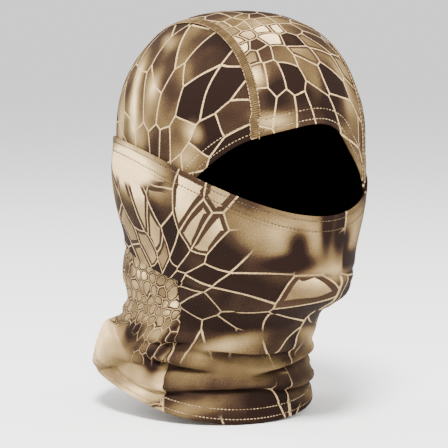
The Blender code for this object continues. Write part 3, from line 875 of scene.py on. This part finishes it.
def make_looks():
    """Each look is a material paired with a slot's name."""
    side_spots, crown_spots = cell_spots(side_cells, SIDE_SPOTS), cell_spots(crown_cells, CROWN_SPOTS)
    wrap_spots = cell_spots(wrap_cells, WRAP_SPOTS)
    return {
        "hood": (print_cloth("hood_print", 0.7, 0.2, side_spots), "hood_print_cloth"),
        "crown": (print_cloth("crown_print", 0.7, 0.2, crown_spots), "crown_print_cloth"),
        "mask": (print_cloth("mask_print", 0.75, 0.16, wrap_spots), "mask_print_cloth"),
        "nape": (print_cloth("nape_print", 0.0, 0.2, (), 0.34, 0.1), "nape_print_cloth"),
        "neck_hem": (print_cloth("neck_hem_print", 0.7, 0.2), "nape_print_cloth"),
        "black": (plain_cloth("lining_cloth", (0.002,) * 3, (0.001,) * 3, 1.0, 0.02), "black_lining"),
        "thread": (thread("stitch_thread", (0.36, 0.26, 0.15), (0.14, 0.09, 0.05)), "cover_stitch_thread"),
        "mask_thread": (
            thread("mask_stitch_thread", (0.115, 0.078, 0.044), (0.05, 0.033, 0.02)),
            "cover_stitch_thread",
        ),
        "flatlock": (
            plain_cloth("flatlock_base", (0.095, 0.060, 0.026), (0.035, 0.021, 0.010)),
            "flatlock_thread",
        ),
        "ladder": (thread("flatlock_ladder", (0.15, 0.098, 0.042), (0.075, 0.047, 0.02)), "flatlock_thread"),
        "ladder_pale": (thread("flatlock_chain", (0.34, 0.24, 0.13), (0.15, 0.10, 0.05)), "flatlock_thread"),
        "seam": (plain_cloth("seam_overlock", (0.16, 0.11, 0.07), (0.06, 0.04, 0.03)), "seam_allowance"),
    }


# ---- stitches and hems


def resample(path, pitch):
    """Points about every pitch mm along a dense path (n, 3)."""
    length = np.concatenate(([0.0], np.cumsum(np.linalg.norm(np.diff(path, axis=0), axis=1))))
    places = np.linspace(0, length[-1], int(length[-1] // pitch) + 1)
    return np.stack([np.interp(places, length, path[:, k]) for k in range(3)], axis=1)


# A stitch's rings: the share of its length and of its thickness at each, and the points in a ring
STITCH_RINGS = ((0.0, 0.25), (0.18, 0.85), (0.5, 1.0), (0.82, 0.85), (1.0, 0.25))
STITCH_SIDES = 6


def stitch_mesh(name, starts, ends, normals, width, height):
    """One mesh of thread stitches, each a low rounded bar from its start to its end."""
    across = unit(np.cross(normals, ends - starts))
    starts, run, across, up = (a[:, None, None] for a in (starts, ends - starts, across, normals))
    share, size = (np.array(column)[:, None, None] for column in zip(*STITCH_RINGS))
    turn = np.linspace(0, 2 * math.pi, STITCH_SIDES, endpoint=False)[:, None]
    points = starts + run * share + across * (0.5 * width * size * np.cos(turn))
    points = points + up * (0.5 * height * (size * np.sin(turn) + size - 1))
    walls = grid_faces(len(STITCH_RINGS), STITCH_SIDES, False, True).tolist()
    each = len(STITCH_RINGS) * STITCH_SIDES
    caps = [tuple(range(STITCH_SIDES))[::-1], tuple(range(each - STITCH_SIDES, each))]
    faces = [tuple(v + k * each for v in face) for k in range(len(points)) for face in walls + caps]
    mesh = bpy.data.meshes.new(name)
    mesh.from_pydata((points.reshape(-1, 3) * MM).tolist(), [], faces)
    mesh.shade_smooth()
    return add_object(name, mesh)


def running_stitches(name, path, pitch=2.7, length=1.9, width=0.75, height=0.55):
    """A row of stitches along a path of surface points."""
    points = resample(path, pitch)
    reach = unit(np.gradient(points, axis=0)) * length / 2
    return stitch_mesh(name, points - reach, points + reach, form_normal(points), width, height)


# A folded hem's lift off the form and its thickness, and how deep its stitches sink into it
HOOD_HEM = (0.95, 1.45)
MASK_HEM = (2.85, 1.35)
STITCH_SINK = 0.1


def hem_profile(low, thickness):
    """A folded hem's section: distances from the folded edge and lifts, right round it."""
    nose = thickness / 2
    outer = np.linspace(HEM_WIDTH, nose, 22)
    top = low + thickness - 0.4 * sum(bump((outer - row) / 0.7) for row in STITCH_ROWS)
    turns = np.linspace(math.pi / 2, -math.pi / 2, 7)[1:-1]
    inner = np.linspace(nose, HEM_WIDTH, 6)
    widths = np.concatenate((outer, nose - nose * np.cos(turns), inner))
    lifts = np.concatenate((top, low + nose + nose * np.sin(turns), np.full_like(inner, low)))
    return widths[:, None], lifts[:, None]


# ---- the neck's folds

# Bunched rolls of cloth, each sagging over the crease beneath it:
# azimuth, half span, level, climb per degree, half height, height
NECK_ROLLS = (
    (-66, 18, -230, 0.16, 4, 2.8), (-12, 34, -235, -0.06, 4.6, 4.4),
    (-52, 22, -246, -0.16, 4.8, 5.2), (2, 26, -250, 0.14, 4.8, 5.2),
    (-30, 30, -262, 0.02, 4.8, 5.4), (-64, 16, -266, -0.1, 4.2, 3.6),
    (16, 22, -267, -0.1, 4.4, 4.2), (-96, 18, -254, 0.25, 4.4, 4), (46, 24, -244, 0.12, 5, 4.8),
    (44, 26, -266, -0.08, 5, 4.2), (84, 30, -236, -0.1, 5, 4.6), (92, 34, -254, 0.06, 5.2, 5),
    (150, 30, -220, 0.06, 5, 4.6), (176, 40, -236, -0.05, 5.2, 5), (-146, 22, -222, 0.1, 3.6, 1.6),
)
# The lip of cloth turned up over itself above the bottom hem at the back: azimuth, half span, height, reach
LIP = (-112.0, 26.0, 8.0, 10.0)
SEAM_DIP = 0.9  # how deep the side seams pull the cloth in, in mm
SEAM_DIP_SPAN = 1.3  # and how far to each side, in degrees
PUCKER = 0.8  # the cloth's ripple beside a side seam, in mm
PUCKER_PITCH = 7.5
PUCKER_SPAN = 7.0
PUCKER_TOP = -212.0


def neck_shift(azimuth, level):
    """How far the bunched neck cloth stands off its smooth form, and how far it sags, in mm."""
    azimuth = wrap(azimuth)
    lift = np.zeros(np.broadcast(azimuth, level).shape)
    sag = np.zeros_like(lift)
    for centre, span, height, climb, half, size in NECK_ROLLS:
        away = wrap(azimuth - centre)
        rise = (level - height - climb * away) / half
        reach = size * bump(away / span)
        lift += reach * (bump(rise) - 0.55 * bump((rise + 1.55) / 0.55))
        sag += 0.6 * reach * bump(rise)
    centre, span, height, reach = LIP
    strength = bump(wrap(azimuth - centre) / span)
    above = level - bottom_level(azimuth)
    lift += reach * strength * smooth((26.0 - above) / 8.0) - 2.0 * strength * bump((above - 31.0) / 7.0)
    sag -= height * strength * bump((above - 19.0) / 4.2)
    beside = np.abs(azimuth) - side_seam_azimuth(level)
    ripple = np.sin(2 * math.pi * (level + 0.25 * beside) / PUCKER_PITCH) * bump(beside / PUCKER_SPAN)
    puckered = smooth((PUCKER_TOP - level) / 20.0) * smooth((above - 14.0) / 6.0)
    lift += PUCKER * ripple * puckered - SEAM_DIP * bump(beside / SEAM_DIP_SPAN)
    return lift, sag


def neck_points(azimuth, level, lift):
    extra, sag = neck_shift(azimuth, level)
    return stand_off(around(azimuth, level - sag), lift + extra)


# ---- the pieces


def place(piece, look, nodes, body="hood"):
    material, slot = look
    piece.data.materials.append(material)
    if nodes:
        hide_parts(*nodes)
    if body == "both":
        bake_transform(piece)
    else:
        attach(piece, body)


def lay_cloth(name, grid, thickness, look, nodes, body="hood", ring=False, **attributes):
    """A sheet of cloth over a grid of points, or, with no thickness, a hem whose grid goes round its fold."""
    piece = grid_mesh(name, grid, thickness == 0, ring, **attributes)
    if thickness:
        thicken(piece, thickness)
    place(piece, look, nodes, body)


def sew_rows(name, words, path_at, look, nodes, body="hood"):
    """Two rows of cover stitches. path_at gives a row's path from its distance to the folded edge."""
    for row, word in zip(STITCH_ROWS, words):
        place(running_stitches(name + word, path_at(row)), look, [node + word for node in nodes], body)


def spread(azimuth, top, foot, rows):
    """Azimuths and levels over a band of cloth, from its top edge to its foot."""
    level = top + (foot - top) * np.linspace(0, 1, rows)[:, None]
    return np.broadcast_to(azimuth, level.shape), level


def side_grid(side, columns=96, rows=72):
    """A hood side panel: brow hem in front, crown seam above and behind, and its foot behind the band."""
    seam = seam_line(side, 0.2)
    junction = opening_at_x(side * SEAM_FRONT_X)
    end = 0.0 if side < 0 else 1.0
    crown_share = 0.615
    u, v = np.linspace(0, 1, columns), np.linspace(0, 1, rows)
    front = opening_edge(end + (junction - end) * v, HEM_WIDTH - 1.0)
    top = seam(u * crown_share)
    top = top + ((1 - u) ** 8)[:, None] * (front[-1] - top[0])
    back = seam(1 - v * (1 - crown_share))
    front_azimuth, back_azimuth = azimuth_of(front[0]), azimuth_of(back[0])
    foot = hood_foot(front_azimuth + (back_azimuth - front_azimuth) * u)
    foot = foot + ((1 - u) ** 6)[:, None] * (front[0] - foot[0]) + (u**6)[:, None] * (back[0] - foot[-1])
    return on_head(coons(foot, top, front, back))


def centre_grid(columns=48, rows=150):
    """The crown centre panel, from seam to seam and from the brow hem to the nape."""
    v, u = np.linspace(0, 1, rows), np.linspace(0, 1, columns)
    right, left = seam_line(-1, -0.2)(v), seam_line(1, -0.2)(v)
    first, last = opening_at_x(-SEAM_FRONT_X), opening_at_x(SEAM_FRONT_X)
    brow = opening_edge(first + (last - first) * u, HEM_WIDTH - 1.0)
    right = right + ((1 - v) ** 12)[:, None] * (brow[0] - right[0])
    left = left + ((1 - v) ** 12)[:, None] * (brow[-1] - left[0])
    ends = azimuth_of(right[-1]) % 360, azimuth_of(left[-1]) % 360
    nape = hood_foot(ends[0] + (ends[1] - ends[0]) * u)
    straight = right[:, None] + (left - right)[:, None] * u[None, :, None]
    brow_bow = brow - brow[0] - (brow[-1] - brow[0]) * u[:, None]
    nape_bow = nape - nape[0] - (nape[-1] - nape[0]) * u[:, None]
    grid = straight + ((1 - v) ** 6)[:, None, None] * brow_bow + (v**6)[:, None, None] * nape_bow
    return on_head(grid)


def ease(points):
    """Slack in the stretched hood: low waves that die out on the crown, in mm."""
    x, y, z = np.moveaxis(points, -1, 0)
    return 0.35 * np.sin(0.055 * y + 0.09 * z) * np.sin(0.05 * z - 0.03 * x)


def build_hood(looks):
    right, left, centre = side_grid(-1), side_grid(1), centre_grid()
    for word, lined, node, grid, printed, key in (
        ("side_right", "right", "hood_side_panel_right", right, side_print(right, -1), "hood"),
        ("side_left", "left", "hood_side_panel_left", left, side_print(left, 1), "hood"),
        ("crown", "centre", "crown_centre_panel", centre, crown_print(centre), "crown"),
    ):
        outside, inside = stand_off(grid, HOOD[0] + ease(grid)), stand_off(grid, LINING[0])
        lay_cloth("hood_" + word, outside, HOOD[1], looks[key], [node], **printed)
        lay_cloth("lining_" + word, inside, LINING[1], looks["black"], ["hood_lining_" + lined], knit=grid)


def build_brow(looks):
    widths, lifts = hem_profile(*HOOD_HEM)
    base = opening_edge(np.linspace(0, 1, 260), widths)
    lay_cloth("brow_hem_fold", stand_off(base, lifts), 0, looks["hood"], ["brow_hem"], **hood_print(base))

    def path_at(row):
        return stand_off(opening_edge(np.linspace(0.02, 0.98, 700), row), sum(HOOD_HEM) - STITCH_SINK)

    sew_rows("brow_stitches_", ("lower", "upper"), path_at, looks["thread"], ["brow_cover_stitch_"])


FLATLOCK_STEP = 0.8
FLATLOCK_LIFT = 2.35
LADDER_PITCH = 1.45
LADDER_LIFT = 3.0


def directions(path):
    """Unit vectors along a path on the form, out of the form, and across the path."""
    forward, normal = unit(np.gradient(path, axis=0)), form_normal(path)
    return forward, normal, np.cross(forward, normal)


def build_flatlock(looks):
    """The crown seams: a flat thread ladder over butted cloth, from the opening edge to the nape."""
    half = FLATLOCK_WIDTH / 2
    for side, word in ((-1, "right"), (1, "left")):
        insets = np.linspace(0.6, HEM_WIDTH - 0.6, 14)
        lead = np.array([opening_edge(opening_at_x(side * SEAM_FRONT_X, inset), inset) for inset in insets])
        middle = seam_line(side)(np.linspace(0, 1, 400))
        spine = on_head(resample(np.concatenate((lead, middle[4:])), FLATLOCK_STEP))
        across = directions(spine)[2] * half
        offsets = np.linspace(-1, 1, 9)[:, None]
        tape = stand_off(spine + offsets[..., None] * across, FLATLOCK_LIFT + 0.25 * (1 - offsets**4))
        onward, aside = np.meshgrid(np.arange(len(spine)) * FLATLOCK_STEP, offsets * half)
        knit = columns_of(aside, onward)
        nodes = ["crown_flatlock_seam_" + word]
        lay_cloth("flatlock_tape_" + word, tape, 0.35, looks["flatlock"], nodes, knit=knit)

        rungs = on_head(resample(spine, LADDER_PITCH))
        forward, normal, sideways = directions(rungs)
        raised, reach = rungs + normal * LADDER_LIFT, sideways * half * 0.86 + forward * 0.35
        ladder = stitch_mesh("flatlock_ladder_" + word, raised - reach, raised + reach, normal, 0.72, 0.6)
        place(ladder, looks["ladder"], [])
        for sign, edge in ((-1, "inner"), (1, "outer")):
            path = stand_off(spine + across * 0.9 * sign, LADDER_LIFT - 0.05)
            chain = running_stitches("flatlock_chain_" + word + "_" + edge, path, 2.9, 2.5, 0.7, 0.6)
            place(chain, looks["ladder_pale"], [])


# Creases over the mouth and chin: azimuth, half span, level, climb per degree, half height, depth
MASK_FOLDS = (
    (14, 26, -182, 0.05, 2.6, -1.6), (6, 30, -187, 0.04, 3, 1), (-40, 24, -186, -0.3, 4, -0.8),
    (30, 10, -192, 0.2, 2.4, -1.6), (-30, 20, -158, 0.25, 5, 0.5), (60, 26, -176, 0.3, 4, -0.9),
)


def mask_lift(azimuth, level, foot):
    """Extra lift of the mask cloth: mouth and chin creases, and the jaw edge hugging the neck cloth."""
    azimuth = wrap(azimuth)
    lift = np.zeros(np.broadcast(azimuth, level).shape)
    for centre, span, height, climb, half, depth in MASK_FOLDS:
        away = azimuth - centre
        lift = lift + depth * bump(away / span) * bump((level - height - climb * away) / half)
    hug = smooth((80.0 - np.abs(azimuth)) / 14.0) * smooth((12.0 - (level - foot)) / 12.0)
    return lift - 0.9 * hug


def build_mask(looks):
    """The mask and its band are one cloth right round the head."""
    azimuth = np.linspace(0, 360, 440, endpoint=False)
    top, foot = mask_edge_level(azimuth), mask_foot_level(azimuth)
    turn, level = spread(azimuth, top - HEM_WIDTH + 1.0, foot, 64)
    cloth = stand_off(around(turn, level), MASK[0] + mask_lift(turn, level, foot))
    nodes = ["mask_front_panel", "mask_band_panel"]
    lay_cloth("mask_cloth", cloth, MASK[1], looks["mask"], nodes, "both", True, **wrap_print(turn, level))

    widths, lifts = hem_profile(*MASK_HEM)
    level = top - widths
    turn = np.broadcast_to(azimuth, level.shape)
    fold = stand_off(around(turn, level), lifts)
    nodes = ["mask_front_hem", "mask_band_hem"]
    lay_cloth("mask_hem_fold", fold, 0, looks["mask"], nodes, "both", True, **wrap_print(turn, level))

    def path_at(row):
        ring = np.linspace(0, 360, 1500)
        return stand_off(around(ring, mask_edge_level(ring) - row), sum(MASK_HEM) - STITCH_SINK)

    nodes = ["mask_front_cover_stitch_", "mask_band_cover_stitch_"]
    sew_rows("mask_stitches_", ("upper", "lower"), path_at, looks["mask_thread"], nodes, "both")

    front = np.linspace(-66, 66, 150)
    turn, level = spread(front, mask_edge_level(front) - 2.0, mask_foot_level(front) + 3.0, 40)
    lift = MASK_LINING[0] + np.minimum(mask_lift(turn, level, mask_foot_level(front)), 0.0)
    base = around(turn, level)
    lining = stand_off(base, lift)
    nodes = ["mask_front_lining"]
    lay_cloth("mask_lining", lining, MASK_LINING[1], looks["black"], nodes, "both", knit=base)


def neck_top_level(azimuth):
    """The neck cloth's top: behind the mask's jaw edge in front, behind the band at the back."""
    return mask_foot_level(azimuth) + 6.0


FOLD_PAINTED_SHADE = 0.05  # painted highlight and painted shade: how much paler the print is painted for each mm that a fold stands out, and darker where it sinks into a crease
FOLD_PAINTED_SHADE_RANGE = (-0.25, 0.08)


def neck_grid(behind, columns, rows):
    """Azimuths and levels over the cloth between the side seams, ahead of them or behind them."""
    share = np.linspace(0, 1, columns)[None, :]
    down = np.linspace(0, 1, rows)[:, None]
    level = np.full((rows, columns), -230.0)
    for _ in range(10):
        seam = side_seam_azimuth(level)
        turn = seam + (360.0 - 2 * seam) * share if behind else -seam + 2 * seam * share
        top, foot = neck_top_level(turn), bottom_level(turn) + HEM_WIDTH - 1.0
        level = top + (foot - top) * down
    return turn, level


def build_neck(looks):
    for name, behind, printed, key, node in (
        ("front_neck", False, wrap_print, "mask", "front_neck_panel"),
        ("back_neck", True, nape_print, "nape", "back_neck_panel"),
    ):
        turn, level = neck_grid(behind, 240, 110)
        below = neck_top_level(turn) - level
        tuck = -0.9 * smooth((16.0 - below) / 8.0) * smooth((np.abs(wrap(turn)) - 60.0) / 20.0)
        layout = printed(turn, level)
        # Painted highlight on the neck's rolls and painted shade in its creases and seam dips, added to the
        # print's airbrushed tone
        layout["glow"] = layout["glow"] + np.clip(FOLD_PAINTED_SHADE * neck_shift(turn, level)[0], *FOLD_PAINTED_SHADE_RANGE)
        lay_cloth(name, neck_points(turn, level, NECK[0] + tuck), NECK[1], looks[key], [node], **layout)

    azimuth = np.linspace(0, 360, 480, endpoint=False)
    widths, lifts = hem_profile(*HOOD_HEM)
    level = bottom_level(azimuth) + widths
    turn = np.broadcast_to(azimuth, level.shape)
    layout = choose(np.abs(wrap(turn)) > SIDE_SEAM_LOW, nape_print(turn, level), wrap_print(turn, level))
    fold = neck_points(turn, level, lifts)
    lay_cloth("neck_hem_fold", fold, 0, looks["neck_hem"], ["neck_hem"], "hood", True, **layout)

    def path_at(row):
        ring = np.linspace(0, 360, 1500)
        return neck_points(ring, bottom_level(ring) + row, sum(HOOD_HEM) - STITCH_SINK)

    sew_rows("neck_stitches_", ("lower", "upper"), path_at, looks["thread"], ["neck_cover_stitch_"])


SEAM_ALLOWANCE = 0.9  # thickness, in mm


def build_seams(looks):
    """Overlocked seam allowances inside the neck's sides and along the nape."""
    for sign, word in ((-1, "right"), (1, "left")):
        top = mask_foot_level(sign * (SIDE_SEAM_LOW + SIDE_SEAM_TURN)) - 1.0
        foot = bottom_level(sign * SIDE_SEAM_LOW) + HEM_WIDTH
        level = np.broadcast_to(np.linspace(top, foot, 90)[:, None], (90, 7))
        turn = sign * side_seam_azimuth(level) + np.linspace(-2.6, 2.6, 7)
        strip, chart = neck_points(turn, level, -0.6), columns_of(turn, level)
        nodes = ["neck_seam_" + word]
        lay_cloth("side_seam_" + word, strip, SEAM_ALLOWANCE, looks["seam"], nodes, knit=chart)
    azimuth = np.linspace(62, 298, 240)
    foot = mask_foot_level(azimuth)
    turn, level = spread(azimuth, foot + 4.5, foot + 8.5, 8)
    strip, chart = stand_off(around(turn, level), 1.2), wrap_chart(turn, level)
    lay_cloth("nape_seam_allowance", strip, SEAM_ALLOWANCE, looks["seam"], ["nape_seam"], knit=chart)


# ---- studio, in metres

# Each light's name, place, size, power and colour
LIGHTS = (
    ("key_light", (-0.8, -1.0, 1.6), 0.6, 165.0, (1.0, 0.99, 0.97)),
    ("side_light", (1.4, -0.6, 0.3), 1.0, 16.0, (1.0, 1.0, 1.0)),
    ("back_light", (-0.8, 1.4, 0.8), 1.0, 24.0, (1.0, 1.0, 1.0)),
)
WORLD_STRENGTH = 1.2
FLOOR_REACH = 6.0
FLOOR_GAP = 0.0005
FLOOR_ALBEDO = 0.97


def area_light(name, place, size, power, colour, target):
    light = bpy.data.lights.new(name, "AREA")
    light.shape = "DISK"
    light.size = size
    light.energy = power
    light.color = colour
    lamp = add_object(name, light)
    lamp.location = place
    lamp.rotation_euler = (target - Vector(place)).to_track_quat("-Z", "Y").to_euler()


def build_studio():
    low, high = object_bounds()
    z = low.z - FLOOR_GAP
    corners = [(x * FLOOR_REACH, y * FLOOR_REACH, z) for x, y in ((-1, -1), (1, -1), (1, 1), (-1, 1))]
    sheet = bpy.data.meshes.new("floor")
    sheet.from_pydata(corners, [], [(0, 1, 2, 3)])
    paper = bpy.data.materials.new("pale_floor")
    paper.use_nodes = True
    shader = paper.node_tree.nodes["Principled BSDF"]
    shader.inputs["Base Color"].default_value = (FLOOR_ALBEDO, FLOOR_ALBEDO, FLOOR_ALBEDO, 1.0)
    shader.inputs["Roughness"].default_value = 0.9
    sheet.materials.append(paper)
    add_object("floor", sheet)

    world = bpy.data.worlds.new("studio")
    world.use_nodes = True
    background = world.node_tree.nodes["Background"]
    background.inputs["Color"].default_value = (1.0, 1.0, 1.0, 1.0)
    background.inputs["Strength"].default_value = WORLD_STRENGTH
    bpy.context.scene.world = world
    for light in LIGHTS:
        area_light(*light, (low + high) / 2)


VIEW_AZIMUTH = -34.0
VIEW_ELEVATION = 6.0
VIEW_DISTANCE = 1.5
VIEW_LENS = 164.0
VIEW_TARGET_LEVEL = -153.8
VIEW_TARGET_ASIDE = -11.4


def build_camera():
    a, e = math.radians(VIEW_AZIMUTH), math.radians(VIEW_ELEVATION)
    back = Vector((math.sin(a) * math.cos(e), -math.cos(a) * math.cos(e), math.sin(e)))
    right = Vector((math.cos(a), math.sin(a), 0.0))
    target = (Vector((0, 0, VIEW_TARGET_LEVEL)) + right * VIEW_TARGET_ASIDE) * MM
    data = bpy.data.cameras.new("camera")
    data.lens = VIEW_LENS
    data.sensor_width = 36.0
    data.clip_start, data.clip_end = 0.05, 50.0
    camera = add_object("camera", data)
    camera.location = target + back * VIEW_DISTANCE
    camera.rotation_mode = "QUATERNION"
    camera.rotation_quaternion = (-back).to_track_quat("-Z", "Y")
    bpy.context.scene.camera = camera


looks = make_looks()
for build in (build_hood, build_brow, build_flatlock, build_mask, build_neck, build_seams):
    build(looks)
build_camera()
build_studio()
